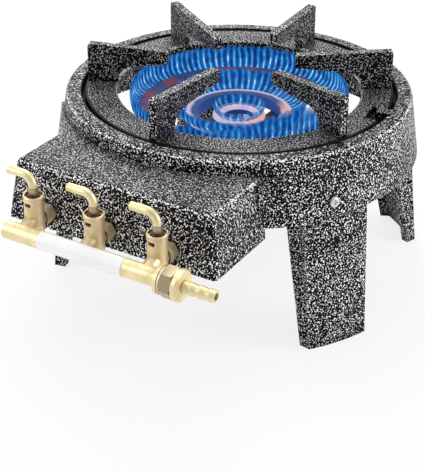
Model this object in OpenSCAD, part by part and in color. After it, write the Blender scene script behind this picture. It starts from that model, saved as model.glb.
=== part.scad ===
// Three-ring gas burner on four legs, with a valve box, three brass taps and a hose tail.
// Millimetres, +Z up, standing on z = 0. The taps face -Y.
// Inside the modules the ring axis is x = 0, y = 0; seat() moves it to its place.

/* [Ring casting] */
// Radius of the rim at the top
rim_r = 150; // [144:1:156]
// Height of the ring casting from lower edge to rim
skirt_h = 54; // [50:1:60]
// How much wider the skirt is at its lower edge than at the rim
skirt_flare = 8; // [5:1:10]
// Wall of the skirt
skirt_wall = 6; // [5:0.5:7]
// Rounding of the rim's outer edge
rim_round = 4; // [2:0.5:5]
// Width of the rim's top
rim_w = 13.5; // [12:0.5:15]
// Depth of the seat below the rim
seat_depth = 9; // [8.8:0.1:10]
// Width of the seat inside the rim
seat_w = 14.5; // [12:0.5:18]
// Thickness of the seat
seat_t = 6; // [4:0.5:8]

/* [Legs] */
// Height of the skirt's lower edge above the floor
leg_h = 115; // [100:1:130]
// Angle from the X axis to the front legs
front_leg_angle = 29.5; // [28:0.5:33]
// Angle from the X axis to the rear legs
rear_leg_angle = 49; // [45:1:54]
// Distance from the ring axis to the outside of a front leg's foot
front_foot_r = 167.5; // [165:0.5:170]
// Distance from the ring axis to the outside of a rear leg's foot
rear_foot_r = 171; // [166:0.5:172]
// Width of a leg at the foot
leg_foot_w = 56; // [50:1:60]
// Width of a leg at its top
leg_top_w = 62; // [56:1:66]
// Thickness of a leg's outer plate
leg_t = 5; // [4:0.5:6]
// Thickness of a leg's webs
web_t = 7; // [4:0.5:8]
// Depth of a web at the foot
web_foot = 9; // [7:0.5:12]
// Depth of a web at its top
web_top = 17; // [14:1:30]
// How far the webs spread apart towards the ring axis, in degrees
web_splay = 22; // [5:1:25]
// Height of a leg screw above the skirt's lower edge
leg_screw_h = 13; // [10:1:18]
// How far a leg screw sits from the middle of its leg, towards the box, in degrees
leg_screw_turn = 1.5; // [0:0.5:2]
// Thread radius of a leg screw
leg_screw_r = 2.5; // [2:0.5:3]

/* [Pan support] */
// Play between the support's ring and the rim
pan_ring_play = 2.5; // [1.5:0.25:3]
// Width of the support's ring
pan_ring_w = 28; // [20:1:30]
// Thickness of the support's ring
pan_ring_t = 8; // [6:0.5:8.5]
// Thickness of a finger
finger_t = 7; // [5:0.5:9]
// Height of a finger's outer end above the ring
finger_rise = 35; // [30:1:40]
// How much lower the finger's tip is than its outer end
finger_fall = 5; // [2:1:8]
// Height of the tip's end face
finger_tip_h = 12; // [9:1:14]
// Distance of a finger's outer edge from the edge of the ring
finger_inset = 2; // [1:0.5:8]
// Rounding of a finger's corners
finger_round = 3; // [1:0.5:4]
// Radius of the arch under a finger
arch_r = 14; // [8:1:16]

/* [Valve box] */
// Width of the box at its top
box_w = 182; // [176:1:188]
// How much wider the box is at its lower edge
box_draft = 13; // [8:1:16]
// Distance from the ring axis to the top of the box's front
box_front = 197; // [192:1:202]
// How far the front leans out at its lower edge
front_draft = 5; // [3:0.5:7]
// Height of the box
box_h = 51.5; // [46:0.5:54]
// Depth of the box top below the rim
box_drop = 12; // [10:1:16]
// Wall of the box
box_wall = 4; // [3:0.5:5]
// Rounding of the box's edges
box_round = 4; // [2:0.5:5]
// Angle from the X axis at which the box's lap on the skirt ends
lap_end = 34.5; // [34:0.5:38]
// Thickness of the lap
lap_t = 2.2; // [1.5:0.1:3]
// Rounding between the box's sides and the lap
lap_fillet = 12; // [8:1:16]

/* [Burners] */
// Outer radius of the outer burner
outer_burner_r = 90; // [86:1:94]
// Width of the outer burner
outer_burner_w = 16; // [14:0.5:20]
// Outer radius of the middle burner
middle_burner_r = 48; // [45:1:52]
// Width of the middle burner
middle_burner_w = 12; // [11:0.5:14]
// Outer radius of the inner burner
inner_burner_r = 23.2; // [22:0.2:26]
// Width of the inner burner
inner_burner_w = 9.7; // [9:0.1:11]
// Height of the outer burner
outer_burner_h = 15; // [12:0.5:16]
// Height of the middle burner
middle_burner_h = 10; // [9:0.5:12]
// Height of the inner burner
inner_burner_h = 7.5; // [7:0.5:9]
// Wall of the burner castings
burner_wall = 3; // [2.5:0.25:3.5]
// Radius of a flame port
port_r = 1.1; // [0.8:0.1:1.3]
// Width of a support bar
bar_w = 12; // [10:1:14]
// Thickness of a support bar
bar_t = 4; // [3:0.5:5]
// Distance of a support bar from the centre
bar_x = 20; // [19:0.5:22]
// Height of the support bars above the skirt's lower edge
bar_rise = 16; // [15:0.5:18]

/* [Gas train] */
// Distance between the taps
tap_pitch = 57; // [54:1:60]
// Distance from the ring axis to the taps
tap_y = 218.6; // [217:0.2:222]
// Height of the tap outlets above the skirt's lower edge
outlet_rise = 6; // [5:0.5:7]
// Outer radius of a tap body
tap_r = 8.4; // [8.2:0.1:8.6]
// Height of a tap's top above its outlet
tap_top = 23; // [22:0.5:25]
// Radius of the lever rod
lever_r = 3.4; // [3:0.1:3.6]
// Height of the lever above the tap's top
lever_rise = 16; // [15:0.5:20]
// Length of the lever from the tap's axis
lever_len = 24; // [20:1:27]
// Bend radius of the lever
lever_bend = 9; // [7:0.5:10]
// Radius of the plug at the top of its seat
plug_r = 4.6; // [4.5:0.1:4.8]
// Radius of the plug's stem
stem_r = 3.7; // [3.6:0.05:3.8]
// Height of the stem above the tap's top
stem_rise = 6.5; // [5:0.5:7]
// Running clearance of the plug and its stem
run_gap = 0.06; // [0.03:0.01:0.1]
// Outer radius of the manifold pipe
pipe_r = 7.25; // [6.5:0.05:7.6]
// Wall of the manifold pipe
pipe_wall = 1.75; // [1:0.05:2]
// Distance from the taps' axis to the pipe's axis
pipe_off = 16.4; // [16:0.1:18]
// How far the pipe lies below the tap outlets
pipe_drop = 4; // [3:0.5:6]
// Left end of the pipe
pipe_left = 72; // [70:1:78]
// Right end of the pipe
pipe_right = 81; // [80:1:84]
// Left end of the label sleeve
label_left = 38; // [34:1:44]
// Right end of the label sleeve
label_right = 39; // [34:1:44]
// Thickness of the label sleeve
label_t = 0.35; // [0.2:0.05:0.5]

/* [Hose connection] */
// Width across the flats of the union nut
union_af = 22; // [20:0.5:24]
// Length of the union nut
union_len = 10.5; // [9:0.5:13]
// Height of one of the nut's front corners, as an angle about its axis
union_corner = 51; // [30:1:89]
// Radius of the pipe's collar
pipe_collar_r = 11.3; // [10.5:0.1:12]
// Width of the pipe's collar
pipe_collar_w = 3.2; // [2:0.1:3.5]
// Radius of the sealing washer
washer_r = 10.8; // [10:0.1:11.2]
// Thickness of the sealing washer
washer_t = 2; // [1.5:0.1:2.2]
// Radius of the hose tail's flange
tail_flange_r = 12.7; // [11:0.1:13]
// Thickness of the hose tail's flange
tail_flange_t = 5; // [4:0.5:8]
// Distance from the flange to the first barb
tail_neck = 6.5; // [5:0.5:8]
// Distance between the barbs
barb_pitch = 8; // [7:0.1:9]
// Radius of the hose tail between its barbs
tail_core_r = 4.5; // [4:0.1:4.8]
// Radius of the hose tail's barbs
barb_r = 5.2; // [4.8:0.1:5.5]
// Radius of the hose tail's bore
tail_bore_r = 3; // [2.5:0.1:3.2]

/* [Hidden] */
$fn = 96;
TAPS = ["left", "middle", "right"];

paint = "#3c3c40";
iron = "#2a2a2c";
brass = "#d9c084";
steel = "#c8c8c8";
label_white = "#f2f2f0";

// Clearances: between seated pieces, under loose pieces, round a screw in its thread
seat_gap = 0.2;
loose_gap = 0.3;
thread_gap = 0.05;
// How far a cut reaches past a face it only meets, and past one it goes through
eps = 0.01;
over = 20;

// Heights and radii of the ring casting
rim_z = leg_h + skirt_h;
skirt_r = rim_r + skirt_flare;
recess_r = rim_r - rim_w;
seat_r = recess_r - seat_w;
slope = skirt_flare / skirt_h;
lean = atan(slope);
foot_round = 2;
foot_round_r = skirt_r - foot_round * (1 + sin(lean)) / cos(lean);
skirt_far = foot_round_r + foot_round;
seat_z = rim_z - seat_depth;
function skirt_at(z) = rim_r + slope * (rim_z - z);
function leg_at(z) = skirt_at(z) - skirt_wall - seat_gap;
function arc(cx, cy, r, from, to, steps) =
    [for (i = [0:steps]) let (a = from + (to - from) * i / steps) [cx + r * cos(a), cy + r * sin(a)]];
function chord(r, x) = sqrt(r * r - x * x);
function ring_mid(radii) = (radii[0] + radii[1]) / 2;

// Legs
leg_top = seat_z - seat_t - 4;
leg_shoulder_z = leg_h - seat_gap;
LEG_ANGLES = [-front_leg_angle, 180 + front_leg_angle, rear_leg_angle, 180 - rear_leg_angle];
leg_screw_z = leg_h + leg_screw_h;
function leg_half_w(z) = (leg_foot_w + (leg_top_w - leg_foot_w) * z / leg_top) / 2;
web_sink = 0.5;
leg_nut_t = 4;
leg_nut_af = 8;
screw_clear = 0.25;
leg_stack = skirt_wall + seat_gap + leg_t;

// Pan support, and the lug on the seat that keeps it from turning
pan_ring_r = recess_r - pan_ring_play;
pan_ring_bore = pan_ring_r - pan_ring_w;
pan_z = seat_z + loose_gap;
pan_top = pan_z + pan_ring_t;
finger_r = pan_ring_r - finger_inset;
// The fingers stand unevenly and differ in reach: angle and distance of the tip from the centre
FINGERS = [[30, 48], [89, 58], [148, 41], [206, 62], [268.5, 38], [339.5, 46]];
key_angle = 6;
key_w = 9;
key_r = recess_r - 9.5;
key_rise = 1.5;
key_notch_w = 26;
key_notch_r = key_r - 8;
key_notch_shift = 2;
seat_notch_w = 8;

// Valve box
box_top = rim_z - box_drop;
box_bottom = box_top - box_h;
lap_top = box_top - 1;
tap_z = leg_h + outlet_rise;
tap_x = [-tap_pitch, 0, tap_pitch];
function front_at(z) = box_front + front_draft * (box_top - z) / box_h;
wall_y = front_at(tap_z);

// Burners and what carries them: inner and outer radius of each ring
outer_burner = [outer_burner_r - outer_burner_w, outer_burner_r];
middle_burner = [middle_burner_r - middle_burner_w, middle_burner_r];
inner_burner = [inner_burner_r - inner_burner_w, inner_burner_r];
bar_z = leg_h + bar_rise;
burner_z = bar_z + bar_t;
bar_len = 2 * (chord(leg_at(bar_z + bar_t) - seat_gap, bar_x + bar_w / 2) - 1);
lug_w = 15;
lug_reach = 12;
lug_root = 4;
lug_h = 10;
bar_screw_y = bar_len / 2 - 6;
bar_screw_r = 2;
hex_head_af = 7;
hex_head_h = 3;
lip_h = 1.5;
outer_base_h = outer_burner_h - 7;
middle_base_h = middle_burner_h - 4.5;
inner_base_h = inner_burner_h - 3;
outer_ports = 96;
middle_ports = 60;
inner_ports = 20;

// Mixing tubes
tube_r = 9;
tube_wall = 2;
mouth_r = 12;
mouth_len = 15;
mouth_y = 178;
shutter_t = 2;
jet_nose_r = 2.8;
jet_af = 9;
jet_tip_y = mouth_y - shutter_t;
notch_w = 25;
notch_top = tap_z + notch_w / 2;

// Taps
tap_top_z = tap_z + tap_top;
tap_bottom_z = tap_z - 8.5;
plug_port_r = 2.5;
plug_seat_top = tap_top_z - 9;
plug_bottom = tap_z - 5;
plug_foot_r = plug_r - 0.9;
plug_top = tap_top_z - 4.8;
gland_r = 5.3;
gland_t = 2.5;
gland_rise = 0.1;
cup_r = 7.2;
cup_depth = 1.8;
gland_bottom = tap_top_z + gland_rise - gland_t;
spring_wire = 0.4;
outlet_r = 4;
outlet_hole_r = 4.3;
neck_r = 6;
collar_r = 7.6;
collar_len = 4;
collar_y = tap_y - tap_r - collar_len + 1.5;
outlet_af = 14;
outlet_seat = wall_y + 1;
outlet_end = wall_y - box_wall - 2;
inlet_r = 6.2;
inlet_bore_r = 2;
pipe_y = tap_y + pipe_off;
pipe_z = tap_z - pipe_drop;
pipe_bore = pipe_r - pipe_wall;
inlet_tilt = atan2(tap_z + 0.8 - pipe_z, pipe_off - plug_r);
pin_r = 1.3;
pin_z = plug_top - 1.7;
pin_reach = tap_r - 0.6;
pin_half_angle = asin((pin_r + loose_gap) / gland_r);
lever_travel = 90;
lever_foot = tap_top_z + stem_rise;
lever_spigot_r = 2.2;
lever_spigot_len = 5.5;

// Hose connection
union_x = pipe_right - 6.5;
washer_x = union_x - washer_t;
tail_x = union_x + union_len;
spigot_r = pipe_bore - 0.55;
barb_land = 1.2;
barb_flat = 3;
barb_count = 3;
tail_len = tail_flange_t + tail_neck + barb_count * barb_pitch - barb_flat;

// The bounding box's centre lies over the origin, so the ring axis stands behind it
ring_y = (pipe_y + tail_flange_r - skirt_far) / 2;

module seat() {
    translate([0, ring_y, 0]) children();
}

// Runs a shape drawn along +Z in the direction +X
module along_x() {
    rotate([0, 90, 0]) children();
}

// Runs a shape drawn along +Z in the direction +Y
module along_y() {
    rotate([-90, 0, 0]) children();
}

module hex_prism(across_flats, length) {
    cylinder(r = across_flats / 2 / cos(30), h = length, $fn = 6);
}

// Puts a shape on a leg's screw axis, with +Z out of the skirt and z = 0 on its face
module on_leg_screw(angle) {
    rotate([0, 0, angle - leg_screw_turn * sign(cos(angle))])
        translate([skirt_at(leg_screw_z), 0, leg_screw_z])
            rotate([0, 90 - lean, 0])
                children();
}

// ---- Ring casting ----

module ring_profile() {
    rim_bevel = 1;
    rim_round_r = rim_r - rim_round * (1 - sin(lean)) / cos(lean);
    polygon(concat(
        arc(rim_round_r, rim_z - rim_round, rim_round, 90, lean, 6),
        arc(foot_round_r, leg_h + foot_round, foot_round, lean, -90, 6),
        [
            [skirt_r - skirt_wall, leg_h],
            [skirt_at(seat_z - seat_t) - skirt_wall, seat_z - seat_t],
            [seat_r, seat_z - seat_t],
            [seat_r, seat_z],
            [recess_r, seat_z],
            [recess_r, rim_z - rim_bevel],
            [recess_r + rim_bevel, rim_z]
        ]
    ));
}

// Four lugs inside the skirt that carry the ends of the support bars
module bar_lugs() {
    for (x = [-bar_x, bar_x])
        for (turn = [0, 180])
            rotate([0, 0, turn]) difference() {
                translate([x - lug_w / 2, bar_len / 2 - lug_reach, bar_z - lug_h])
                    cube([lug_w, lug_reach + lug_root, lug_h]);
                translate([x, bar_screw_y, bar_z - lug_h - over])
                    cylinder(r = bar_screw_r + thread_gap, h = lug_h + 2 * over);
            }
}

module ring_body() {
    color(paint) seat() difference() {
        union() {
            rotate_extrude($fn = 180) ring_profile();
            bar_lugs();
            rotate([0, 0, key_angle])
                translate([key_r, -key_w / 2, seat_z - seat_t])
                    cube([recess_r + 2 - key_r, key_w, rim_z + key_rise - seat_z + seat_t]);
        }
        for (angle = LEG_ANGLES)
            on_leg_screw(angle)
                translate([0, 0, -over])
                    cylinder(r = leg_screw_r + screw_clear, h = 2 * over);
        for (x = tap_x)
            translate([x - notch_w / 2, -skirt_r - over, leg_h - over])
                cube([notch_w, skirt_r + over - pan_ring_bore, over + notch_top - leg_h]);
        translate([seat_r - over, -seat_notch_w / 2, seat_z - seat_t - over])
            cube([over + seat_notch_w, seat_notch_w, 2 * over]);
    }
}

// ---- Legs ----

// A leg's plate stands under the skirt's edge, and a tongue rises from it inside the skirt
module leg_profile(foot_r) {
    polygon([
        [foot_r - leg_t, 0],
        [foot_r, 0],
        [skirt_far - seat_gap, leg_shoulder_z],
        [leg_at(leg_shoulder_z), leg_shoulder_z],
        [leg_at(leg_top), leg_top],
        [leg_at(leg_top) - leg_t, leg_top],
        [leg_at(leg_shoulder_z) - leg_t, leg_shoulder_z]
    ]);
}

module leg_plate(foot_r) {
    low = -over;
    high = leg_top + over;
    intersection() {
        rotate_extrude($fn = 180) leg_profile(foot_r);
        rotate([90, 0, 90])
            linear_extrude(2 * rim_r)
                polygon([
                    [-leg_half_w(low), low],
                    [leg_half_w(low), low],
                    [leg_half_w(high), high],
                    [-leg_half_w(high), high]
                ]);
    }
}

// One web, tapering to the foot. Its outer edge follows the plate's side, just inside it, and its
// outline runs on past both ends, where it is cut level
function web_corner(r, z) = [chord(r, leg_half_w(z)) - web_sink, web_sink - leg_half_w(z), z];

module web(foot_r) {
    foot = web_corner(foot_r, 0);
    edge = web_corner(leg_at(leg_top), leg_top) - foot;
    tilt = atan((edge[1] * cos(web_splay) - edge[0] * sin(web_splay)) / leg_top);
    reach = -edge[0] * cos(web_splay) - edge[1] * sin(web_splay);
    rise = leg_top / cos(tilt);
    spare = 0.02;
    intersection() {
        translate(foot)
            rotate([90 + tilt, 0, 180 + web_splay])
                linear_extrude(web_t)
                    polygon([
                        [-spare * reach, -spare * rise],
                        [web_foot - spare * reach, -spare * rise],
                        [web_top + (1 + spare) * reach, (1 + spare) * rise],
                        [(1 + spare) * reach, (1 + spare) * rise]
                    ]);
        translate([0, -rim_r, 0]) cube([2 * rim_r, 2 * rim_r, leg_top]);
    }
}

module leg(angle, foot_r) {
    color(paint) seat() difference() {
        rotate([0, 0, angle]) union() {
            leg_plate(foot_r);
            web(foot_r);
            mirror([0, 1, 0]) web(foot_r);
        }
        on_leg_screw(angle)
            translate([0, 0, -over])
                cylinder(r = leg_screw_r + screw_clear, h = 2 * over);
    }
}

module leg_screws() {
    head_r = 4.5;
    head_low = 0.1;
    head_h = 2.5;
    head_round = 1.6;
    cross_w = 1.1;
    cross_len = 5;
    cross_depth = 1.6;
    shank = leg_stack + leg_nut_t + 2;
    color(steel) seat() for (angle = LEG_ANGLES)
        on_leg_screw(angle) difference() {
            union() {
                translate([0, 0, -shank]) cylinder(r = leg_screw_r, h = shank + head_h / 2);
                rotate_extrude()
                    polygon(concat(
                        [[0, head_low], [head_r, head_low]],
                        arc(head_r - head_round, head_h - head_round, head_round, 0, 90, 5),
                        [[0, head_h]]
                    ));
            }
            for (turn = [0, 90])
                rotate([0, 0, turn])
                    translate([-cross_len / 2, -cross_w / 2, head_h - cross_depth])
                        cube([cross_len, cross_w, over]);
        }
}

module leg_nuts() {
    color(steel) seat() for (angle = LEG_ANGLES)
        on_leg_screw(angle)
            translate([0, 0, -leg_stack - seat_gap - leg_nut_t])
                difference() {
                    hex_prism(leg_nut_af, leg_nut_t);
                    translate([0, 0, -over])
                        cylinder(r = leg_screw_r + thread_gap, h = 2 * over);
                }
}

// ---- Pan support ----

module finger(tip_r) {
    top = pan_top + finger_rise;
    tip_top = top - finger_fall;
    tip_low = tip_top - finger_tip_h;
    tip_round = 2;
    fall_angle = atan(finger_fall / (finger_r - tip_r));
    root_z = pan_z + 1;
    rotate([90, 0, 0])
        linear_extrude(finger_t, center = true)
            polygon(concat(
                [[finger_r, root_z]],
                arc(finger_r - finger_round, top - finger_round, finger_round, 0, 90, 5),
                arc(tip_r + finger_round, tip_top - finger_round, finger_round, 90 + fall_angle, 180, 5),
                arc(tip_r + tip_round, tip_low + tip_round, tip_round, 180, 270, 4),
                arc(pan_ring_bore - arch_r, pan_top + 1, arch_r, 90, 0, 10),
                [[pan_ring_bore, root_z]]
            ));
}

module pan_support() {
    bevel = 0.8;
    color(paint) seat() difference() {
        union() {
            rotate_extrude($fn = 180)
                polygon([
                    [pan_ring_bore + bevel, pan_z],
                    [pan_ring_r, pan_z],
                    [pan_ring_r, pan_top - bevel],
                    [pan_ring_r - bevel, pan_top],
                    [pan_ring_bore + 2 * bevel, pan_top],
                    [pan_ring_bore, pan_top - 2 * bevel],
                    [pan_ring_bore, pan_z + bevel]
                ]);
            for (f = FINGERS)
                rotate([0, 0, f[0]]) finger(f[1]);
        }
        rotate([0, 0, key_angle - key_notch_shift])
            translate([key_notch_r, -key_notch_w / 2, pan_z - over])
                cube([over, key_notch_w, 2 * over]);
    }
}

// ---- Valve box ----

// A block with the box's slanting sides, shrunk by an inset; it runs back into the ring
module box_block(inset, top, bottom) {
    r = box_round;
    top_x = box_w / 2 - inset - r;
    foot_x = (box_w + box_draft) / 2 - inset - r;
    top_front = box_front - inset - r;
    foot_front = box_front + front_draft - inset - r;
    hull() for (side = [-1, 1]) {
        for (y = [top_front, seat_r])
            translate([side * top_x, -y, top - r]) sphere(r, $fn = 32);
        for (y = [foot_front, seat_r])
            translate([side * foot_x, -y, bottom]) cylinder(r = r, h = 1, $fn = 32);
    }
}

// The band that laps over the skirt
module lap_profile() {
    low_r = skirt_at(leg_h) + seat_gap;
    high_r = skirt_at(lap_top) + seat_gap;
    polygon([[low_r, leg_h], [low_r + lap_t, leg_h], [high_r + lap_t, lap_top], [high_r, lap_top]]);
}

// The rounding from the box's right side into the lap, sunk a little into both
module lap_fillet_block() {
    sink = 1;
    side = (box_w + box_draft) / 2 - 2 * sink;
    lap_r = skirt_r + seat_gap + lap_t - sink;
    centre_x = side + lap_fillet;
    centre_y = -chord(lap_r + lap_fillet, centre_x);
    touch = atan2(centre_y, centre_x);
    inner_x = side - box_wall;
    translate([0, 0, leg_h])
        linear_extrude(lap_top - 2 * sink - leg_h)
            polygon(concat(
                arc(centre_x, centre_y, lap_fillet, 180, 180 + touch, 8),
                [[inner_x, -chord(lap_r - skirt_wall, inner_x)], [inner_x, centre_y]]
            ));
}

module valve_box() {
    sweep = 90 - lap_end;
    tunnel_x = tap_pitch + mouth_r + 3;
    tunnel_depth = 50;
    color(paint) seat() difference() {
        union() {
            difference() {
                box_block(0, box_top, box_bottom);
                box_block(box_wall, box_top - box_wall, box_bottom - over);
            }
            rotate([0, 0, -90 - sweep])
                rotate_extrude(angle = 2 * sweep, $fn = 180) lap_profile();
            lap_fillet_block();
            mirror([1, 0, 0]) lap_fillet_block();
        }
        translate([0, 0, box_bottom - over])
            cylinder(
                r1 = skirt_at(box_bottom - over) + seat_gap,
                r2 = skirt_at(box_top + over) + seat_gap,
                h = box_h + 2 * over,
                $fn = 180
            );
        translate([-tunnel_x, -skirt_r - over, box_bottom - over])
            cube([2 * tunnel_x, tunnel_depth, over + notch_top - box_bottom]);
        for (x = tap_x)
            translate([x, -wall_y - over, tap_z])
                along_y() cylinder(r = outlet_hole_r, h = 2 * over);
    }
}

// ---- Burners ----

// A ring-shaped gas chamber, open at the top, with the riser's bore in its floor
module burner_base(radii, height, foot, riser_bore, screw_y) {
    color(iron) seat() difference() {
        translate([0, 0, burner_z])
            rotate_extrude($fn = 120)
                polygon([
                    [radii[0], 0],
                    [radii[1], 0],
                    [radii[1], height],
                    [radii[1] - burner_wall, height],
                    [radii[1] - burner_wall, burner_wall],
                    [radii[0] + burner_wall, burner_wall],
                    [radii[0] + burner_wall, height],
                    [radii[0], height]
                ]);
        translate([foot[0], foot[1], burner_z - over])
            cylinder(r = riser_bore, h = 2 * over);
        if (screw_y > 0)
            for (x = [-bar_x, bar_x])
                for (y = [-screw_y, screw_y])
                    translate([x, y, burner_z - over])
                        cylinder(r = bar_screw_r + thread_gap, h = 2 * over);
    }
}

// The lid with the flame ports, upright (tilt 0) in its top or slanting in its bevel
module burner_cap(radii, base_h, height, ports, port_tilt) {
    bevel = min(3, (height - base_h) / 2);
    lip_out = radii[1] - burner_wall - seat_gap;
    lip_in = radii[0] + burner_wall + seat_gap;
    port_z = port_tilt == 0 ? height : height - bevel / 2;
    port_ring = port_tilt == 0 ? ring_mid(radii) : radii[1] - bevel / 2;
    port_depth = 5;
    color(iron) seat() translate([0, 0, burner_z]) difference() {
        rotate_extrude($fn = 120)
            polygon([
                [radii[0], base_h],
                [lip_in, base_h],
                [lip_in, base_h - lip_h],
                [lip_out, base_h - lip_h],
                [lip_out, base_h],
                [radii[1], base_h],
                [radii[1], height - bevel],
                [radii[1] - bevel, height],
                [radii[0] + bevel / 3, height],
                [radii[0], height - bevel / 3]
            ]);
        for (i = [0:ports - 1])
            rotate([0, 0, i * 360 / ports])
                translate([port_ring, 0, port_z])
                    rotate([0, port_tilt, 0])
                        translate([0, 0, -port_depth])
                            cylinder(r = port_r, h = 2 * port_depth);
    }
}

module support_bar(side) {
    color(iron) seat() difference() {
        translate([side * bar_x - bar_w / 2, -bar_len / 2, bar_z])
            cube([bar_w, bar_len, bar_t]);
        for (y = concat([bar_screw_y, -bar_screw_y], burner_screw_ys()))
            translate([side * bar_x, y, bar_z - over])
                cylinder(r = bar_screw_r + 2 * thread_gap, h = 2 * over);
    }
}

outer_screw_y = chord(ring_mid(outer_burner), bar_x);
middle_screw_y = chord(ring_mid(middle_burner), bar_x);
function burner_screw_ys() = [outer_screw_y, -outer_screw_y, middle_screw_y, -middle_screw_y];

module hex_screw(shank) {
    translate([0, 0, -hex_head_h]) hex_prism(hex_head_af, hex_head_h);
    cylinder(r = bar_screw_r, h = shank);
}

module bar_screws() {
    color(steel) seat()
        for (x = [-bar_x, bar_x])
            for (y = [-bar_screw_y, bar_screw_y])
                translate([x, y, burner_z])
                    mirror([0, 0, 1]) hex_screw(bar_t + lug_h - 1);
}

module burner_screws() {
    color(steel) seat()
        for (x = [-bar_x, bar_x])
            for (y = burner_screw_ys())
                translate([x, y, bar_z]) hex_screw(bar_t + burner_wall + 0.5);
}

// ---- Mixing tubes ----

// Route of each tube's axis from its mouth to the foot of its riser
middle_riser_x = 36;
middle_elbow_y = 100;
riser_xy = [
    [-tap_pitch, -chord(ring_mid(outer_burner), tap_pitch)],
    [0, -ring_mid(inner_burner)],
    [middle_riser_x, -chord(ring_mid(middle_burner), middle_riser_x)]
];
elbow_y = [riser_xy[0][1], riser_xy[1][1], -middle_elbow_y];
riser_r = [8, 4.8, 6];

module rod(from, to, r) {
    d = to - from;
    length = norm(d);
    translate(from)
        rotate([0, acos(d[2] / length), atan2(d[1], d[0])])
            cylinder(r = r, h = length);
}

// The tube's outside, or its inside with a smaller wall; extend runs its ends out a little
module tube_solid(i, wall, extend) {
    mouth = [tap_x[i], -mouth_y, tap_z];
    elbow = [tap_x[i], elbow_y[i], tap_z];
    foot = [riser_xy[i][0], riser_xy[i][1], tap_z];
    head = [foot[0], foot[1], burner_z + extend];
    r = tube_r - wall;
    knee_r = r + 0.4;
    rod(mouth - [0, extend, 0], elbow, r);
    translate(foot) sphere(knee_r, $fn = 48);
    if (norm(foot - elbow) > 1) {
        translate(elbow) sphere(knee_r, $fn = 48);
        rod(elbow, foot, r);
    }
    rod(foot, head, riser_r[i] - wall);
    translate(mouth)
        along_y() cylinder(r1 = mouth_r - wall, r2 = r, h = mouth_len);
}

module mixing_tube(i) {
    color(iron) seat() difference() {
        tube_solid(i, 0, 0);
        tube_solid(i, tube_wall, eps);
        translate([tap_x[i], -mouth_y - over, tap_z])
            along_y() cylinder(r = tube_r, h = over);
    }
}

module air_shutter(i) {
    air_holes = 4;
    air_hole_r = 2.6;
    air_hole_ring = 7;
    color(steel) seat()
        translate([tap_x[i], -mouth_y - shutter_t, tap_z])
            along_y() difference() {
                cylinder(r = mouth_r, h = shutter_t);
                translate([0, 0, -over]) cylinder(r = jet_nose_r + 2 * thread_gap, h = 2 * over);
                for (k = [0:air_holes - 1])
                    rotate([0, 0, 45 + k * 360 / air_holes])
                        translate([air_hole_ring, 0, -over]) cylinder(r = air_hole_r, h = 2 * over);
            }
}

module gas_jet(i) {
    orifice_r = 0.5;
    throat_r = 2;
    throat_len = 6;
    nose = 4;
    color(brass) seat()
        translate([tap_x[i], -outlet_end, tap_z])
            along_y() difference() {
                union() {
                    hex_prism(jet_af, outlet_end - jet_tip_y - nose);
                    cylinder(r = jet_nose_r, h = outlet_end - jet_tip_y);
                }
                translate([0, 0, -over]) cylinder(r = orifice_r, h = 2 * over);
                translate([0, 0, -over]) cylinder(r = throat_r, h = over + throat_len);
            }
}

// ---- Manifold ----

module manifold_pipe() {
    color(brass) seat() difference() {
        union() {
            translate([-pipe_left, -pipe_y, pipe_z])
                along_x() cylinder(r = pipe_r, h = pipe_left + pipe_right);
            translate([washer_x - pipe_collar_w, -pipe_y, pipe_z])
                along_x() cylinder(r = pipe_collar_r, h = pipe_collar_w);
        }
        translate([-pipe_left - over, -pipe_y, pipe_z])
            along_x() cylinder(r = pipe_bore, h = pipe_left + pipe_right + 2 * over);
        for (x = tap_x)
            translate([x, -pipe_y, pipe_z])
                rotate([inlet_tilt - 90, 0, 0]) cylinder(r = inlet_r + 2 * thread_gap, h = over);
    }
}

module manifold_end_plug() {
    plug_len = 4;
    color(brass) seat()
        translate([-pipe_left, -pipe_y, pipe_z])
            along_x() cylinder(r = pipe_bore - thread_gap / 2, h = plug_len);
}

module label_sleeve() {
    cover = 240;
    color(label_white) seat()
        translate([-label_left, -pipe_y, pipe_z])
            rotate([0, 90, 0])
                rotate([0, 0, inlet_tilt - 90 - cover / 2])
                    rotate_extrude(angle = cover)
                        translate([pipe_r + thread_gap / 2, 0])
                            square([label_t, label_left + label_right]);
}

module sealing_washer() {
    color(brass) seat()
        translate([washer_x, -pipe_y, pipe_z])
            along_x() difference() {
                cylinder(r = washer_r, h = washer_t);
                translate([0, 0, -over]) cylinder(r = pipe_r + 2 * thread_gap, h = 2 * over);
            }
}

module union_nut() {
    face_r = union_af / 2;
    corner_r = face_r + 2;
    bevel = 1.2;
    color(brass) seat()
        translate([union_x, -pipe_y, pipe_z])
            along_x() difference() {
                intersection() {
                    rotate([0, 0, 270 - union_corner]) hex_prism(union_af, union_len);
                    rotate_extrude()
                        polygon([
                            [0, 0],
                            [face_r, 0],
                            [corner_r, bevel],
                            [corner_r, union_len - bevel],
                            [face_r, union_len],
                            [0, union_len]
                        ]);
                }
                translate([0, 0, -over])
                    cylinder(r = pipe_r + thread_gap, h = over + pipe_right - union_x + 2 * seat_gap);
                translate([0, 0, -over]) cylinder(r = spigot_r + thread_gap, h = 2 * over + union_len);
            }
}

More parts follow.
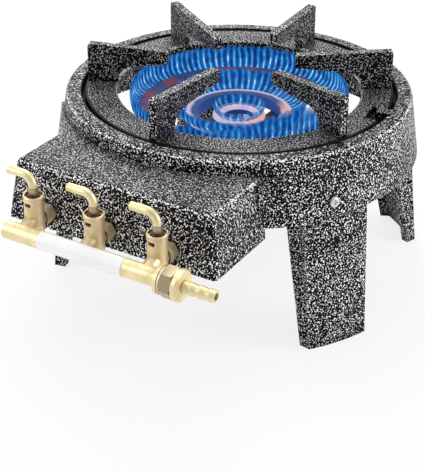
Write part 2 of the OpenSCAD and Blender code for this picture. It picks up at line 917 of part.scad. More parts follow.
module hose_tail() {
    first_barb = tail_flange_t + tail_neck;
    flange_bevel = 1;
    spigot_len = 4;
    color(brass) seat()
        translate([tail_x, -pipe_y, pipe_z])
            along_x() difference() {
                union() {
                    rotate_extrude()
                        polygon([
                            [0, -spigot_len],
                            [spigot_r, -spigot_len],
                            [spigot_r, 0],
                            [tail_flange_r - flange_bevel, 0],
                            [tail_flange_r, flange_bevel],
                            [tail_flange_r, tail_flange_t - flange_bevel],
                            [tail_flange_r - flange_bevel, tail_flange_t],
                            [tail_core_r, tail_flange_t],
                            [tail_core_r, tail_len],
                            [0, tail_len]
                        ]);
                    for (k = [0:barb_count - 1])
                        translate([0, 0, first_barb + k * barb_pitch]) {
                            cylinder(r = barb_r, h = barb_land);
                            translate([0, 0, barb_land])
                                cylinder(r1 = barb_r, r2 = tail_core_r, h = barb_pitch - barb_land - barb_flat);
                        }
                }
                translate([0, 0, -over]) cylinder(r = tail_bore_r, h = 2 * over + tail_len);
            }
}

// ---- Taps ----

module at_tap(i) {
    seat() translate([tap_x[i], -tap_y, 0]) children();
}

module tap_body(i) {
    waist_r = tap_r - 0.5;
    bead_h = 2.2;
    bevel = 1.2;
    seat_low = plug_bottom - 0.5;
    color(brass) at_tap(i) difference() {
        union() {
            rotate_extrude()
                polygon([
                    [0, tap_bottom_z],
                    [waist_r - bevel, tap_bottom_z],
                    [waist_r, tap_bottom_z + bevel],
                    [waist_r, tap_top_z - bead_h - bevel],
                    [tap_r, tap_top_z - bead_h],
                    [tap_r, tap_top_z - bevel / 2],
                    [tap_r - bevel / 2, tap_top_z],
                    [0, tap_top_z]
                ]);
            translate([0, 0, tap_z])
                along_y() cylinder(r = neck_r, h = tap_y - collar_y);
            translate([0, tap_y - collar_y - collar_len, tap_z])
                along_y() cylinder(r = collar_r, h = collar_len);
            translate([0, 0, tap_z])
                along_y() cylinder(r = outlet_r, h = tap_y - outlet_end);
            translate([0, -pipe_off, pipe_z])
                rotate([inlet_tilt - 90, 0, 0]) cylinder(r = inlet_r, h = pipe_off / cos(inlet_tilt));
        }
        translate([-over, -pipe_off, pipe_z])
            along_x() cylinder(r = pipe_bore, h = 2 * over);
        translate([0, -pipe_off, pipe_z])
            rotate([inlet_tilt - 90, 0, 0]) cylinder(r = inlet_bore_r, h = pipe_off / cos(inlet_tilt));
        translate([0, 0, tap_z])
            along_y() cylinder(r = inlet_bore_r, h = 2 * over);
        translate([0, 0, tap_top_z - cup_depth])
            cylinder(r = cup_r, h = over);
        translate([0, 0, plug_seat_top])
            cylinder(r = gland_r + thread_gap, h = over);
        translate([0, 0, seat_low])
            cylinder(r1 = plug_foot_r + run_gap, r2 = plug_r + run_gap, h = plug_seat_top - seat_low + eps);
        translate([0, 0, pin_z - pin_r - loose_gap])
            rotate([0, 0, 180 - pin_half_angle])
                rotate_extrude(angle = lever_travel + 2 * pin_half_angle)
                    translate([plug_r - 1, 0])
                        square([over, 2 * (pin_r + loose_gap)]);
    }
}

module gland_nut(i) {
    gland_bevel = 0.6;
    color(brass) at_tap(i)
        translate([0, 0, gland_bottom])
            difference() {
                union() {
                    cylinder(r = gland_r, h = gland_t - gland_bevel);
                    translate([0, 0, gland_t - gland_bevel])
                        cylinder(r1 = gland_r, r2 = gland_r - gland_bevel, h = gland_bevel);
                }
                translate([0, 0, -over]) cylinder(r = stem_r + run_gap, h = 2 * over);
            }
}

// A coil of round wire, swept as one tube
module tap_spring(i) {
    coils = 1.25;
    steps = 20;
    sides = 6;
    low = plug_top + loose_gap + spring_wire;
    high = gland_bottom - seat_gap - spring_wire;
    mean_r = (stem_r + gland_r) / 2;
    rings = [for (k = [0:steps]) [for (s = [0:sides - 1])
        let (turn = k * 360 * coils / steps, a = s * 360 / sides, r = mean_r + spring_wire * cos(a))
        [r * cos(turn), r * sin(turn), low + (high - low) * k / steps + spring_wire * sin(a)]]];
    points = [for (ring = rings) for (p = ring) p];
    walls = [for (k = [0:steps - 1]) for (s = [0:sides - 1])
        let (n = (s + 1) % sides, a = k * sides, b = a + sides)
        each [[a + s, a + n, b + n], [a + s, b + n, b + s]]];
    last = steps * sides;
    caps = concat(
        [for (s = [1:sides - 2]) [0, s + 1, s]],
        [for (s = [1:sides - 2]) [last, last + s, last + s + 1]]
    );
    color(steel) at_tap(i)
        polyhedron(points, [for (f = concat(walls, caps)) [f[2], f[1], f[0]]]);
}

module outlet_nut(i) {
    color(brass) at_tap(i)
        translate([0, tap_y - collar_y + thread_gap, tap_z])
            along_y() difference() {
                hex_prism(outlet_af, collar_y - outlet_seat - thread_gap);
                translate([0, 0, -over]) cylinder(r = outlet_r + thread_gap, h = 2 * over);
            }
}

module tap_plug(i) {
    color(brass) at_tap(i) difference() {
        union() {
            translate([0, 0, plug_bottom])
                cylinder(r1 = plug_foot_r, r2 = plug_r, h = plug_seat_top - plug_bottom);
            translate([0, 0, plug_seat_top]) cylinder(r = plug_r, h = plug_top - plug_seat_top);
            translate([0, 0, plug_seat_top]) cylinder(r = stem_r, h = lever_foot - plug_seat_top);
        }
        translate([0, -over, tap_z])
            along_y() cylinder(r = plug_port_r, h = 2 * over);
        translate([0, 0, lever_foot - lever_spigot_len - thread_gap])
            cylinder(r = lever_spigot_r + thread_gap, h = over);
        translate([0, 0, pin_z])
            rotate([0, -90, 0]) cylinder(r = pin_r + thread_gap, h = over);
    }
}

module stop_pin(i) {
    pin_foot = 1;
    color(steel) at_tap(i)
        translate([-pin_foot, 0, pin_z])
            rotate([0, -90, 0]) cylinder(r = pin_r, h = pin_reach - pin_foot);
}

// A bent rod that stands on the plug's stem, with a thinner spigot inside the stem
module tap_lever(i) {
    bend_z = tap_top_z + lever_rise - lever_bend;
    bevel = 1.2;
    arm = lever_len - lever_bend - bevel;
    color(brass) at_tap(i) {
        translate([0, 0, lever_foot - lever_spigot_len])
            cylinder(r = lever_spigot_r, h = lever_spigot_len + eps);
        translate([0, 0, lever_foot])
            cylinder(r = lever_r, h = bend_z - lever_foot);
        translate([-lever_bend, 0, bend_z])
            rotate([90, 0, 0])
                rotate_extrude(angle = 90)
                    translate([lever_bend, 0]) circle(r = lever_r);
        translate([-lever_bend, 0, bend_z + lever_bend])
            rotate([0, -90, 0]) {
                cylinder(r = lever_r, h = arm);
                translate([0, 0, arm]) cylinder(r1 = lever_r, r2 = lever_r - bevel, h = bevel);
            }
    }
}

// ---- Nodes ----

ring_body();
valve_box();
leg(LEG_ANGLES[0], front_foot_r);  // leg_front_right
leg(LEG_ANGLES[1], front_foot_r);  // leg_front_left
leg(LEG_ANGLES[2], rear_foot_r);  // leg_rear_right
leg(LEG_ANGLES[3], rear_foot_r);  // leg_rear_left
leg_screws();
leg_nuts();
pan_support();
burner_base(outer_burner, outer_base_h, riser_xy[0], riser_r[0] - tube_wall, outer_screw_y);  // outer_burner_base
burner_cap(outer_burner, outer_base_h, outer_burner_h, outer_ports, 45);  // outer_burner_cap
burner_base(middle_burner, middle_base_h, riser_xy[2], riser_r[2] - tube_wall, middle_screw_y);  // middle_burner_base
burner_cap(middle_burner, middle_base_h, middle_burner_h, middle_ports, 45);  // middle_burner_cap
burner_base(inner_burner, inner_base_h, riser_xy[1], riser_r[1] - tube_wall, 0);  // inner_burner_base
burner_cap(inner_burner, inner_base_h, inner_burner_h, inner_ports, 0);  // inner_burner_cap
support_bar(-1);  // support_bar_left
support_bar(1);  // support_bar_right
bar_screws();
burner_screws();
manifold_pipe();
manifold_end_plug();
label_sleeve();
sealing_washer();
union_nut();
hose_tail();
for (i = [0:2]) {
    mixing_tube(i);
    tap_body(i);
    gland_nut(i);
    tap_spring(i);
    outlet_nut(i);
    gas_jet(i);
    air_shutter(i);
    tap_plug(i);
    stop_pin(i);
    tap_lever(i);
}
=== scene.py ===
import math
import random

import bmesh
import bpy
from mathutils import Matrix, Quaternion, Vector


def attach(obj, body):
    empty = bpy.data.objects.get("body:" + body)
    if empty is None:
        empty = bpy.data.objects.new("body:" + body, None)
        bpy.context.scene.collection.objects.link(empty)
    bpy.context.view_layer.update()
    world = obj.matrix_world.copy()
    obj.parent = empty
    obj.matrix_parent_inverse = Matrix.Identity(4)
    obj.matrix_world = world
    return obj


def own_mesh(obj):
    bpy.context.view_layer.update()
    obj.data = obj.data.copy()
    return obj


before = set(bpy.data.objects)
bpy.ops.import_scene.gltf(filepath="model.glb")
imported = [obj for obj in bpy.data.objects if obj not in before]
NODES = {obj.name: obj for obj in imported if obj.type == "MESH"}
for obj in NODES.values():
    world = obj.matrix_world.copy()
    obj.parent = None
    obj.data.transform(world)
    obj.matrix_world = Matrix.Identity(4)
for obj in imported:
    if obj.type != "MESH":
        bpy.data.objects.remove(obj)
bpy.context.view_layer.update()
TAPS = ["left", "middle", "right"]

# The axis of the three burners is upright, at x = 0 and this y. Lengths are in metres.
RING_Y = 0.04501

# ---- Camera, at the photo's viewing angle ----

CAMERA_AT = Vector((0.53019, -0.88613, 0.63020))
LOOK_AT = Vector((0.0, RING_Y, 0.0820))
CAMERA_ROLL = math.radians(0.909)
LENS_MM = 101.9
SHIFT = (-0.0541, -0.132)


def make_camera():
    data = bpy.data.cameras.new("camera")
    data.lens = LENS_MM
    data.sensor_width = 36.0
    data.sensor_fit = "AUTO"
    data.shift_x, data.shift_y = SHIFT
    data.clip_start = 0.01
    camera = bpy.data.objects.new("camera", data)
    bpy.context.scene.collection.objects.link(camera)
    aim = (LOOK_AT - CAMERA_AT).to_track_quat("-Z", "Y")
    camera.rotation_mode = "QUATERNION"
    camera.rotation_quaternion = aim @ Quaternion((0, 0, 1), CAMERA_ROLL)
    camera.location = CAMERA_AT
    bpy.context.scene.camera = camera


make_camera()

# ---- Node helpers ----


class Graph:
    """A material's node tree, with short calls to add and join nodes."""

    def __init__(self, name):
        self.material = bpy.data.materials.new(name)
        self.material.use_nodes = True
        self.tree = self.material.node_tree
        self.tree.nodes.clear()

    def add(self, kind, settings=None, **inputs):
        """A new node. An input's name is written with _ where the node's own name has a space."""
        node = self.tree.nodes.new(kind)
        for key, value in (settings or {}).items():
            setattr(node, key, value)
        for key, value in inputs.items():
            self.put(node.inputs[key.replace("_", " ")], value)
        return node

    def put(self, socket, value):
        """Join another node's output to the socket, or set the socket to a plain value."""
        if isinstance(value, bpy.types.NodeSocket):
            self.tree.links.new(value, socket)
        else:
            socket.default_value = value

    def place(self):
        return self.add("ShaderNodeTexCoord").outputs["Object"]

    def split(self, vector):
        """The outputs X, Y and Z of a vector."""
        return self.add("ShaderNodeSeparateXYZ", Vector=vector).outputs

    def noise(self, scale, detail=2.0, roughness=0.5):
        inputs = {"Scale": scale, "Detail": detail, "Roughness": roughness}
        return self.add("ShaderNodeTexNoise", Vector=self.place(), **inputs).outputs["Fac"]

    def math(self, operation, a, b=0.0, clamp=False):
        node = self.add("ShaderNodeMath", {"operation": operation, "use_clamp": clamp})
        self.put(node.inputs[0], a)
        self.put(node.inputs[1], b)
        return node.outputs[0]

    def times(self, a, b):
        return self.math("MULTIPLY", a, b)

    def fit(self, value, source, target=(0.0, 1.0)):
        """The value carried from the range source to the range target, and held at its ends."""
        node = self.add("ShaderNodeMapRange", {"clamp": True})
        for i, part in enumerate((value, *source, *target)):
            self.put(node.inputs[i], part)
        return node.outputs[0]

    def mix(self, amount, a, b):
        """Colour a where the amount is 0, and b where it is 1."""
        node = self.add("ShaderNodeMix", {"data_type": "RGBA"})
        self.put(node.inputs[0], amount)
        self.put(node.inputs[6], (*a, 1.0) if isinstance(a, tuple) else a)
        self.put(node.inputs[7], (*b, 1.0) if isinstance(b, tuple) else b)
        return node.outputs[2]

    def bump(self, height, strength, distance):
        return self.add("ShaderNodeBump", Strength=strength, Distance=distance, Height=height).outputs[0]

    def polar(self):
        """Distance from the burners' axis, and the angle round it."""
        place = self.split(self.place())
        x = place["X"]
        y = self.math("SUBTRACT", place["Y"], RING_Y)
        squares = self.math("ADD", self.times(x, x), self.times(y, y))
        return self.math("SQRT", squares), self.math("ARCTAN2", y, x)

    def height(self):
        return self.split(self.place())["Z"]

    def open_share(self, reach):
        """How open the surface is within reach: near 0 in a crevice, 1 on an open face."""
        return self.add("ShaderNodeAmbientOcclusion", {"samples": 6}, Distance=reach).outputs["AO"]

    def finish(self, shader):
        self.put(self.add("ShaderNodeOutputMaterial").inputs["Surface"], shader.outputs[0])
        return self.material


# ---- Materials ----

BLACK = (0.0, 0.0, 0.0)
COATING_BLACK = (0.001, 0.001, 0.002)
FLECK_GREY = (0.95, 0.95, 0.97)
# Flecks on level faces are painted this darker grey, as painted shade
LEVEL_FACE_SHADE_GREY = (0.60, 0.60, 0.61)
# The pale grey of the painted highlight on the paint's edges
EDGE_HIGHLIGHT_GREY = (0.95, 0.95, 0.95)
FLECK_SCALE = 820.0
# How far from an edge the painted highlight reaches
EDGE_HIGHLIGHT_REACH = 0.0011

# How far away a surface still darkens the paint, the burners or the brass with painted shade, as the wall of
# a crevice
PAINT_CREVICE_SHADE = 0.015
BURNER_CREVICE_SHADE = 0.003
BRASS_CREVICE_SHADE = 0.004

# Painted shade on the paint's faces turned to the flames begins inside the first radius, and has its full
# strength inside the second
INNER_SHADE_R = (0.142, 0.137)

# The painted black shadow in the groove between the pan support and the rim: its radii, its top and how
# softly its black ends
GROOVE_INNER_R = 0.1312
GROOVE_OUTER_R = 0.1382
GROOVE_TOP = 0.1702
GROOVE_BLEND = 0.0008
GROOVE_TOP_BLEND = 0.0007

IRON_GRAIN = 900.0
IRON_GRAIN_DEPTH = 0.0003
# Painted glow of the burner caps; the crevice blue is their painted shade
DARK_BLUE_GLOW = (0.0, 0.05, 0.24)
CREVICE_SHADE_BLUE_GLOW = (0.0, 0.01, 0.05)
LAVENDER_GLOW = (0.78, 0.62, 0.80)
VIOLET_GLOW = (0.50, 0.50, 0.90)
PEACH_GLOW = (0.90, 0.50, 0.42)
# Painted shade in the brass's crevices
BRASS_CREVICE_SHADE_BROWN = (0.05, 0.015, 0.01)


def painted_edge_highlight(g, face, lying):
    """Where to paint a highlight: 1 on edges and on slanting faces, 0 on faces that lie level or stand
    upright.
    """
    standing = g.math("SQRT", g.math("SUBTRACT", 1.0, g.times(lying, lying)))
    slant = g.fit(g.math("MAXIMUM", lying, standing), (0.96, 0.78))
    rounded = g.add("ShaderNodeBevel", {"samples": 4}, Radius=EDGE_HIGHLIGHT_REACH)
    turned = g.add("ShaderNodeVectorMath", {"operation": "DOT_PRODUCT"})
    g.put(turned.inputs[0], rounded.outputs[0])
    g.put(turned.inputs[1], face)
    return g.math("MAXIMUM", slant, g.fit(turned.outputs["Value"], (0.97, 0.80)))


def painted_inner_shade(g, facing, lying):
    """Painted shade: half on the faces turned to the flames, and 1 as a painted black shadow in the groove
    round the pan support.
    """
    radius, turn = g.polar()
    across = g.times(facing["X"], g.math("COSINE", turn))
    outward = g.math("ADD", across, g.times(facing["Y"], g.math("SINE", turn)))
    to_flames = g.fit(g.math("MAXIMUM", lying, outward), (0.9, 0.7))
    # Painted shade at half strength on faces turned to the flames
    inner_shade = g.times(g.fit(radius, INNER_SHADE_R, (0.0, 0.5)), to_flames)
    # A painted black shadow in the groove round the pan support
    past_inner = g.fit(radius, (GROOVE_INNER_R, GROOVE_INNER_R + GROOVE_BLEND))
    before_outer = g.fit(radius, (GROOVE_OUTER_R, GROOVE_OUTER_R - GROOVE_BLEND))
    below_top = g.fit(g.height(), (GROOVE_TOP, GROOVE_TOP - GROOVE_TOP_BLEND))
    return g.math("MAXIMUM", inner_shade, g.times(g.times(past_inner, before_outer), below_top))


def hammered_paint():
    """Black stove paint, crept into fine flecks of pale grey: more flecks and a painted highlight on every
    edge; painted shade with no flecks in crevices, on faces turned to the flames and in the groove round the
    pan support; darker flecks on level faces as painted shade.
    """
    g = Graph("hammered_paint")
    face = g.add("ShaderNodeNewGeometry").outputs["Normal"]
    facing = g.split(face)
    lying = g.math("ABSOLUTE", facing["Z"])
    edge = painted_edge_highlight(g, face, lying)
    drift = g.fit(g.noise(30.0), (0.3, 0.7), (-0.03, 0.03))
    level = g.math("ADD", g.noise(FLECK_SCALE, detail=0.0), drift)
    # Edges get more flecks, and below a pale grey base colour: a painted highlight
    level = g.math("ADD", level, g.times(edge, 0.09))
    # Fewer flecks in crevices: painted shade
    light = g.times(g.fit(level, (0.60, 0.645)), g.fit(g.open_share(PAINT_CREVICE_SHADE), (0.35, 0.75)))
    # No flecks on faces turned to the flames nor in the groove: painted shade
    light = g.times(light, g.math("SUBTRACT", 1.0, painted_inner_shade(g, facing, lying)))
    # Level faces get darker flecks: painted shade
    pale = g.mix(g.fit(lying, (0.6, 0.9)), FLECK_GREY, LEVEL_FACE_SHADE_GREY)
    colour = g.mix(light, COATING_BLACK, pale)
    # The base colour turns pale grey along the edges: a painted highlight
    shader = g.add(
        "ShaderNodeBsdfPrincipled",
        Base_Color=g.mix(g.times(edge, light), colour, EDGE_HIGHLIGHT_GREY),
        Specular_IOR_Level=0.1,
        Roughness=g.fit(light, (0.0, 1.0), (0.45, 0.3)),
        Normal=g.bump(level, 0.5, 0.0003),
    )
    return g.finish(shader)


def burner_iron(name, low, high, glow=BLACK, glow_patch=BLACK):
    """Cast iron with its grain, darker and lighter where the heat has worked on it, and a painted glow of
    light in patches where one is given.
    """
    g = Graph(name)
    grain = g.noise(IRON_GRAIN, 3.0, 0.6)
    patches = g.noise(60.0, 4.0, 0.6)
    shader = g.add(
        "ShaderNodeBsdfPrincipled",
        Base_Color=g.mix(g.fit(patches, (0.35, 0.65)), low, high),
        Roughness=g.fit(grain, (0.3, 0.7), (0.55, 0.8)),
        Specular_IOR_Level=0.2,
        # A painted glow of light, in patches
        Emission_Color=g.mix(g.fit(patches, (0.5, 0.6)), glow, glow_patch),
        Emission_Strength=1.0,
        Normal=g.bump(grain, 0.5, IRON_GRAIN_DEPTH),
    )
    return g.finish(shader)


def painted_glow_cap(name, rim_r, band):
    """A burner cap's iron with a painted glow: its rim painted lavender, its right side painted peach, and
    the rest painted dark blue, with painted shade of darker blue in its crevices.
    """
    g = Graph(name)
    radius, turn = g.polar()
    across = g.times(radius, g.math("COSINE", turn))
    patches = g.noise(120.0, 3.0, 0.6)
    radius = g.math("ADD", radius, g.fit(patches, (0.3, 0.7), (-0.001, 0.001)))
    rim = g.fit(radius, (rim_r - band, rim_r - 0.6 * band))
    right = g.fit(across, (0.4 * rim_r, 0.75 * rim_r))
    painted_peach_side = g.times(right, g.fit(radius, (0.76 * rim_r, 0.8 * rim_r)))
    glow = g.mix(g.fit(patches, (0.35, 0.65)), LAVENDER_GLOW, VIOLET_GLOW)
    colour = g.mix(rim, DARK_BLUE_GLOW, glow)
    colour = g.mix(painted_peach_side, colour, PEACH_GLOW)
    # Darker blue glow in crevices: painted shade
    colour = g.mix(g.fit(g.open_share(BURNER_CREVICE_SHADE), (0.2, 0.6)), CREVICE_SHADE_BLUE_GLOW, colour)
    shader = g.add(
        "ShaderNodeBsdfPrincipled",
        Base_Color=(0.03, 0.03, 0.035, 1.0),
        Roughness=0.7,
        Specular_IOR_Level=0.2,
        Emission_Color=colour,
        Emission_Strength=0.8,
        Normal=g.bump(g.noise(IRON_GRAIN, 3.0, 0.6), 0.5, IRON_GRAIN_DEPTH),
    )
    return g.finish(shader)


def darker(tone):
    return tuple(0.8 * part for part in tone)


def brass(name, tone, rough, grain_scale, grain_depth):
    """Brass: turned and bright, or with the sandy grain of a casting. Crevices are painted dark brown as
    painted shade.
    """
    g = Graph(name)
    grain = g.noise(grain_scale, 3.0, 0.6)
    stain = g.noise(90.0, 3.0, 0.6)
    colour = g.mix(g.fit(stain, (0.35, 0.7)), tone, darker(tone))
    # Dark brown in crevices: painted shade
    colour = g.mix(g.fit(g.open_share(BRASS_CREVICE_SHADE), (0.3, 0.7)), BRASS_CREVICE_SHADE_BROWN, colour)
    shader = g.add(
        "ShaderNodeBsdfPrincipled",
        Base_Color=colour,
        Metallic=0.8,
        Roughness=g.fit(stain, (0.3, 0.7), (rough, rough + 0.1)),
        Normal=g.bump(grain, 0.4, grain_depth),
    )
    return g.finish(shader)


def zinc(name, tone):
    g = Graph(name)
    mottle = g.noise(500.0)
    shader = g.add(
        "ShaderNodeBsdfPrincipled",
        Base_Color=g.mix(g.fit(mottle, (0.35, 0.65)), tone, darker(tone)),
        Metallic=1.0,
        Roughness=g.fit(mottle, (0.3, 0.7), (0.3, 0.45)),
    )
    return g.finish(shader)


def label_paper():
    g = Graph("label_paper")
    fibre = g.noise(700.0, 3.0)
    shade = g.noise(50.0)
    shader = g.add(
        "ShaderNodeBsdfPrincipled",
        Base_Color=g.mix(g.fit(shade, (0.35, 0.65)), (0.98, 0.98, 0.98), (0.95, 0.95, 0.955)),
        Roughness=g.fit(fibre, (0.3, 0.7), (0.4, 0.55)),
        Normal=g.bump(fibre, 0.15, 0.0001),
    )
    return g.finish(shader)


PAINT = hammered_paint()
IRON = burner_iron("burner_iron", low=(0.02, 0.02, 0.024), high=(0.06, 0.055, 0.06))
# The lit bases and outer cap get a painted glow of light
LIT_IRON = burner_iron(
    "lit_iron",
    low=(0.02, 0.02, 0.03),
    high=(0.05, 0.04, 0.06),
    glow=(0.0, 0.02, 0.12),
    glow_patch=(0.10, 0.005, 0.02),
)
BLUE_IRON = burner_iron(
    "blue_lit_iron",
    low=(0.02, 0.02, 0.03),
    high=(0.04, 0.04, 0.05),
    glow=(0.0, 0.04, 0.24),
    glow_patch=(0.0, 0.01, 0.08),
)
# The middle and inner caps get a painted glow
PAINTED_GLOW_MIDDLE = painted_glow_cap("painted_glow_cap_middle", rim_r=0.048, band=0.0068)
PAINTED_GLOW_INNER = painted_glow_cap("painted_glow_cap_inner", rim_r=0.0232, band=0.02)
BRIGHT_BRASS = brass("bright_brass", (0.96, 0.83, 0.50), rough=0.46, grain_scale=300.0, grain_depth=0.00005)
CAST_BRASS = brass("cast_brass", (0.90, 0.73, 0.45), rough=0.42, grain_scale=600.0, grain_depth=0.0010)
NUT_BRASS = brass("nut_brass", (0.50, 0.41, 0.27), rough=0.30, grain_scale=600.0, grain_depth=0.0001)
BRONZE = brass("dark_bronze", (0.10, 0.05, 0.03), rough=0.40, grain_scale=600.0, grain_depth=0.0001)
ZINC = zinc("zinc", (0.80, 0.80, 0.80))
# Near black: dark steel, made darker still as painted shade in the tap's window
DARK_STEEL_SHADED = zinc("dark_steel_shaded", (0.06, 0.05, 0.05))
LABEL = label_paper()

MATERIALS = {
    "ring_body": PAINT,
    "valve_box": PAINT,
    "pan_support": PAINT,
    "outer_burner_base": IRON,
    "outer_burner_cap": LIT_IRON,
    "middle_burner_base": BLUE_IRON,
    "middle_burner_cap": PAINTED_GLOW_MIDDLE,
    "inner_burner_base": BLUE_IRON,
    "inner_burner_cap": PAINTED_GLOW_INNER,
    "support_bar_left": IRON,
    "support_bar_right": IRON,
    "manifold_pipe": BRIGHT_BRASS,
    "manifold_end_plug": CAST_BRASS,
    "label_sleeve": LABEL,
    "sealing_washer": BRIGHT_BRASS,
    "union_nut": NUT_BRASS,
    "hose_tail": BRIGHT_BRASS,
}
for corner in ("front_right", "front_left", "rear_right", "rear_left"):
    MATERIALS[f"leg_{corner}"] = PAINT
for fasteners in ("leg_screws", "leg_nuts", "bar_screws", "burner_screws"):
    MATERIALS[fasteners] = ZINC
for tap in TAPS:
    MATERIALS[f"mixing_tube_{tap}"] = IRON
    MATERIALS[f"tap_body_{tap}"] = CAST_BRASS
    MATERIALS[f"gland_nut_{tap}"] = BRONZE
    MATERIALS[f"tap_spring_{tap}"] = ZINC
    MATERIALS[f"outlet_nut_{tap}"] = CAST_BRASS
    MATERIALS[f"gas_jet_{tap}"] = BRIGHT_BRASS
    MATERIALS[f"air_shutter_{tap}"] = ZINC
    MATERIALS[f"tap_plug_{tap}"] = NUT_BRASS
    MATERIALS[f"stop_pin_{tap}"] = DARK_STEEL_SHADED
    MATERIALS[f"tap_lever_{tap}"] = BRIGHT_BRASS


def dress(name, material):
    node = NODES[name]
    node.data.materials.clear()
    node.data.materials.append(material)


for name, material in MATERIALS.items():
    dress(name, material)

# ---- Flames: shells of gas flame over the ports of each burner ----

# The side on which the outer ring's flames stand tallest, as an angle round the burners' axis,
# and how closely their extra height keeps to that side
TALLEST = math.radians(-32)
TALLEST_FOCUS = 10.0

FLAME_DEEP_BLUE = (0.0, 0.018, 0.18)
FLAME_BLUE = (0.0, 0.16, 0.52)
FLAME_PALE_BLUE = (0.20, 0.66, 0.95)
FLAME_CORE = (1.0, 0.86, 0.90)

FLAME_WALL_AT_BASE = 0.0012
FLAME_WALL_AT_TIP = 0.0003
STEPS_TO_A_TONGUE = 8

# How much lower a ring of flame is between two tongues than on a tongue
DIP = 0.07


def flame_material(name, count, low, high, front, cover):
    """Glowing gas between the heights low and high: a pale streak over each port, fading towards the tips."""
    g = Graph(name)
    turn = g.polar()[1]
    facing = g.math("MAXIMUM", g.math("COSINE", g.math("SUBTRACT", turn, TALLEST)), 0.0)
    extra = g.times(g.math("POWER", facing, TALLEST_FOCUS), front)
    reach = g.times(g.math("ADD", extra, 1.0), high - low)
    up = g.math("DIVIDE", g.math("SUBTRACT", g.height(), low), reach, clamp=True)
    sway = g.fit(g.noise(70.0, 1.0), (0.3, 0.7), (-1.8, 1.8))
    phase = g.math("ADD", g.times(turn, count), g.times(sway, up))
    crest = g.times(g.math("COSINE", phase), -1.0)
    patchy = g.fit(g.noise(130.0), (0.4, 0.6), (0.1, 1.0))
    streak = g.times(g.fit(crest, (0.5, 1.0)), patchy)
    streak = g.times(streak, g.fit(up, (0.35, 0.9), (1.0, 0.1)))
    body = g.mix(g.fit(g.math("ADD", crest, patchy), (-0.6, 1.2)), FLAME_DEEP_BLUE, FLAME_BLUE)
    core = g.fit(g.times(streak, g.fit(up, (0.1, 0.4), (0.6, 1.0))), (0.60, 0.95), (0.0, 0.8))
    shader = g.add(
        "ShaderNodeBsdfPrincipled",
        Base_Color=(0.0, 0.01, 0.04, 1.0),
        Roughness=1.0,
        Emission_Color=g.mix(core, g.mix(streak, body, FLAME_PALE_BLUE), FLAME_CORE),
        Emission_Strength=1.0,
        Alpha=g.times(g.fit(crest, (-1.0, 0.3), (0.75 * cover, cover)), g.fit(up, (0.75, 1.0), (1.0, 0.3))),
    )
    return g.finish(shader)


def curtain(name, count, profile, bulge, spread, front, cover, seed):
    """A closed ring of flame with one tongue for each port. profile runs from base to tip as (radius, z).
    Its tongues differ in height by the share spread, and are taller by the share front at the right-hand
    front."""
    draw = random.Random(seed)
    heights = [1.0 + spread * draw.uniform(-1.0, 1.0) for _ in range(count)]
    mesh = bmesh.new()
    base_z = profile[0][1]
    tip_z = profile[-1][1]
    loops = []
    for i in range(count * STEPS_TO_A_TONGUE):
        tongue, phase = divmod(i, STEPS_TO_A_TONGUE)
        share = phase / STEPS_TO_A_TONGUE
        crest = 0.5 - 0.5 * math.cos(2 * math.pi * share)
        angle = 2 * math.pi * i / (count * STEPS_TO_A_TONGUE)
        facing = max(0.0, math.cos(angle - TALLEST))
        neighbours = heights[tongue - 1] * (1 - share) + heights[(tongue + 1) % count] * share
        tall = (heights[tongue] + neighbours) / 2
        tall *= 1.0 - DIP * (1.0 - crest)
        tall *= 1.0 + front * facing**TALLEST_FOCUS
        outside = []
        inside = []
        for k, (r, z) in enumerate(profile):
            up = k / (len(profile) - 1)
            wall = FLAME_WALL_AT_TIP + (FLAME_WALL_AT_BASE - FLAME_WALL_AT_TIP) * (1 - up)
            level = base_z + (z - base_z) * tall
            outer_r = r + bulge * crest * up
            for radius, chain in ((outer_r, outside), (outer_r - wall, inside)):
                x = radius * math.cos(angle)
                y = RING_Y + radius * math.sin(angle)
                chain.append(mesh.verts.new((x, y, level)))
        loops.append(outside + inside[::-1])
    for a, b in zip(loops, loops[1:] + loops[:1]):
        for k in range(len(a)):
            n = (k + 1) % len(a)
            mesh.faces.new((a[k], b[k], b[n], a[n])).smooth = True
    bmesh.ops.recalc_face_normals(mesh, faces=mesh.faces)
    data = bpy.data.meshes.new(name)
    mesh.to_mesh(data)
    mesh.free()
    data.materials.append(flame_material(name, count, base_z, tip_z, front, cover))
    flame = bpy.data.objects.new(name, data)
    bpy.context.scene.collection.objects.link(flame)
    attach(flame, "root")
    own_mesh(flame)
    flame.visible_shadow = False
    flame.visible_diffuse = False


curtain(
    "flame_outer",
    count=104,
    profile=[
        (0.0885, 0.1485),
        (0.0925, 0.1505),
        (0.0945, 0.1540),
        (0.0950, 0.1590),
        (0.0948, 0.1640),
        (0.0940, 0.1680),
    ],
    bulge=0.0010,
    spread=0.05,
    front=0.9,
    cover=1.0,
    seed=3,
)
curtain(
    "flame_middle",
    count=60,
    profile=[
        (0.0470, 0.1435),
        (0.0520, 0.1450),
        (0.0560, 0.1480),
        (0.0585, 0.1520),
        (0.0590, 0.1560),
        (0.0585, 0.1600),
    ],
    bulge=0.0012,
    spread=0.10,
    front=0.0,
    cover=1.0,
    seed=5,
)
curtain(
    "flame_inner",
    count=20,
    profile=[
        (0.0190, 0.1425),
        (0.0205, 0.1440),
        (0.0215, 0.1455),
        (0.0220, 0.1475),
        (0.0222, 0.1495),
        (0.0220, 0.1515),
    ],
    bulge=0.0012,
    spread=0.20,
    front=0.0,
    cover=0.6,
    seed=7,
)

# ---- Floor, background and light ----

WHITE = (1.0, 1.0, 1.0, 1.0)
WORLD_LIGHT = 0.38
FLOOR_HALF = 4.0

# The camera and reflections see this share of plain white in the floor, and a pale matt floor for the rest
FLOOR_WHITE_SHARE = 0.8


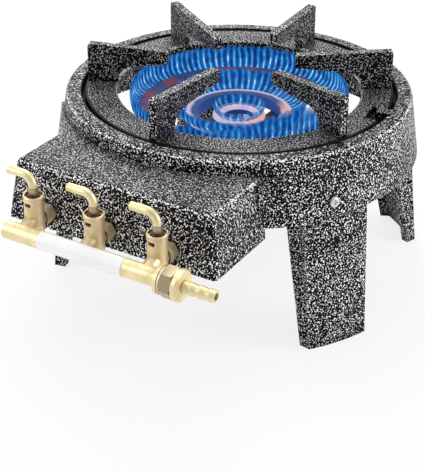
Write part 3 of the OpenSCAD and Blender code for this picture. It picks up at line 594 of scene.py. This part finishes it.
def make_floor():
    g = Graph("floor")
    path = g.add("ShaderNodeLightPath")
    seen = g.math("MAXIMUM", path.outputs["Is Camera Ray"], path.outputs["Is Glossy Ray"])
    pale = g.add("ShaderNodeBsdfDiffuse", Color=(0.9, 0.9, 0.9, 1.0))
    lit = g.add("ShaderNodeEmission", Color=WHITE, Strength=1.0)
    floor_mix = g.add("ShaderNodeMixShader")
    g.put(floor_mix.inputs[0], g.times(seen, FLOOR_WHITE_SHARE))
    g.put(floor_mix.inputs[1], pale.outputs[0])
    g.put(floor_mix.inputs[2], lit.outputs[0])
    mesh = bpy.data.meshes.new("floor")
    corner_signs = ((-1, -1), (1, -1), (1, 1), (-1, 1))
    mesh.from_pydata([(sx * FLOOR_HALF, sy * FLOOR_HALF, 0) for sx, sy in corner_signs], [], [(0, 1, 2, 3)])
    mesh.materials.append(g.finish(floor_mix))
    floor = bpy.data.objects.new("floor", mesh)
    bpy.context.scene.collection.objects.link(floor)


def make_world():
    """White where the camera sees it, and a dimmer white as a light."""
    world = bpy.data.worlds.new("world")
    bpy.context.scene.world = world
    world.use_nodes = True
    tree = world.node_tree
    tree.nodes.clear()
    path = tree.nodes.new("ShaderNodeLightPath")
    strength = tree.nodes.new("ShaderNodeMapRange")
    tree.links.new(path.outputs["Is Camera Ray"], strength.inputs[0])
    strength.inputs[3].default_value = WORLD_LIGHT
    strength.inputs[4].default_value = 1.0
    background = tree.nodes.new("ShaderNodeBackground")
    background.inputs["Color"].default_value = WHITE
    tree.links.new(strength.outputs[0], background.inputs["Strength"])
    output = tree.nodes.new("ShaderNodeOutputWorld")
    tree.links.new(background.outputs[0], output.inputs["Surface"])


def softbox(name, at, aim, size, power):
    data = bpy.data.lights.new(name, "AREA")
    data.shape = "RECTANGLE"
    data.size, data.size_y = size
    data.energy = power
    lamp = bpy.data.objects.new(name, data)
    lamp.location = at
    lamp.rotation_mode = "QUATERNION"
    lamp.rotation_quaternion = (Vector(aim) - Vector(at)).to_track_quat("-Z", "Y")
    bpy.context.scene.collection.objects.link(lamp)


make_floor()
make_world()
softbox("back_light", at=(-0.6, 0.8, 0.8), aim=(-0.05, 0.1, 0.15), size=(0.8, 0.8), power=7.0)
softbox("top_light", at=(-0.2, 0.2, 1.5), aim=(0, 0, 0.1), size=(1.2, 1.2), power=8.0)
softbox("right_light", at=(1.4, 0.5, 0.7), aim=(0, 0, 0.1), size=(0.7, 1.2), power=15.0)
softbox("left_light", at=(-1.2, -1.1, 0.9), aim=(0, 0, 0.1), size=(0.9, 0.9), power=14.0)

scene = bpy.context.scene
scene.view_settings.view_transform = "Standard"
